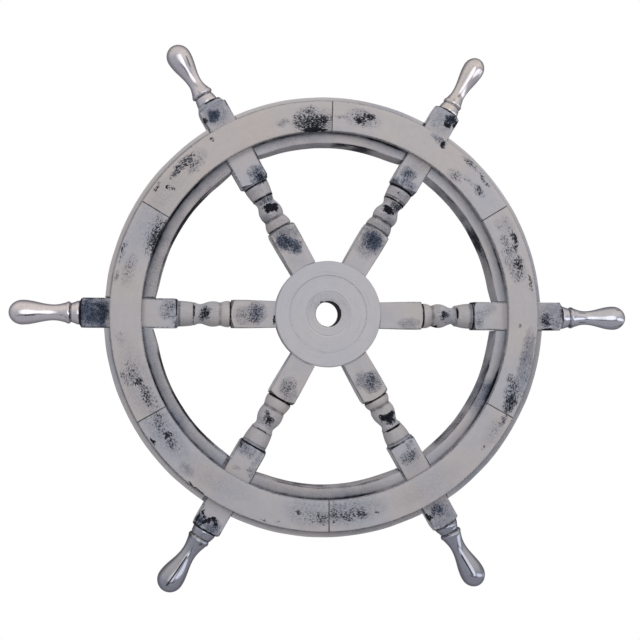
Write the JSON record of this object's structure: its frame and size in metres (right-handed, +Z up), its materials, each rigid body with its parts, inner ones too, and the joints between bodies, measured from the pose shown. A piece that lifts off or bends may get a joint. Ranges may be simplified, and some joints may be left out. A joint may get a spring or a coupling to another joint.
{
  "type": "ship wheel",
  "caption": "Decorative ship wheel: distressed whitewashed wood rim, turned spokes and bored hub, with polished metal handles.",
  "frame": {"origin": "centre of the hub's bore, half way through the wheel", "axes": "the wheel's axis runs along Y and its front faces -Y; +Z is up as it hangs; one spoke points along +X"},
  "size_m": [0.6096, 0.039, 0.5304],
  "materials": {
    "hub_paint": "matte distressed paint",
    "spoke_paint": "matte distressed paint over a dark undercoat",
    "rim_paint": "matte distressed paint over a dark undercoat",
    "handle_metal": "polished",
    "stud_steel": "plain"
  },
  "bodies": {
    "root": {"hub": "hub_paint", "spoke_1": "spoke_paint", "rail_segment_1": "rim_paint", "front_felloe_1": "rim_paint", "back_felloe_1": "rim_paint", "handle_1": "handle_metal", "handle_stud_1": "stud_steel", "spoke_2": "spoke_paint", "rail_segment_2": "rim_paint", "front_felloe_2": "rim_paint", "back_felloe_2": "rim_paint", "handle_2": "handle_metal", "handle_stud_2": "stud_steel", "spoke_3": "spoke_paint", "rail_segment_3": "rim_paint", "front_felloe_3": "rim_paint", "back_felloe_3": "rim_paint", "handle_3": "handle_metal", "handle_stud_3": "stud_steel", "spoke_4": "spoke_paint", "rail_segment_4": "rim_paint", "front_felloe_4": "rim_paint", "back_felloe_4": "rim_paint", "handle_4": "handle_metal", "handle_stud_4": "stud_steel", "spoke_5": "spoke_paint", "rail_segment_5": "rim_paint", "front_felloe_5": "rim_paint", "back_felloe_5": "rim_paint", "handle_5": "handle_metal", "handle_stud_5": "stud_steel", "spoke_6": "spoke_paint", "rail_segment_6": "rim_paint", "front_felloe_6": "rim_paint", "back_felloe_6": "rim_paint", "handle_6": "handle_metal", "handle_stud_6": "stud_steel"}
  },
  "joints": []
}
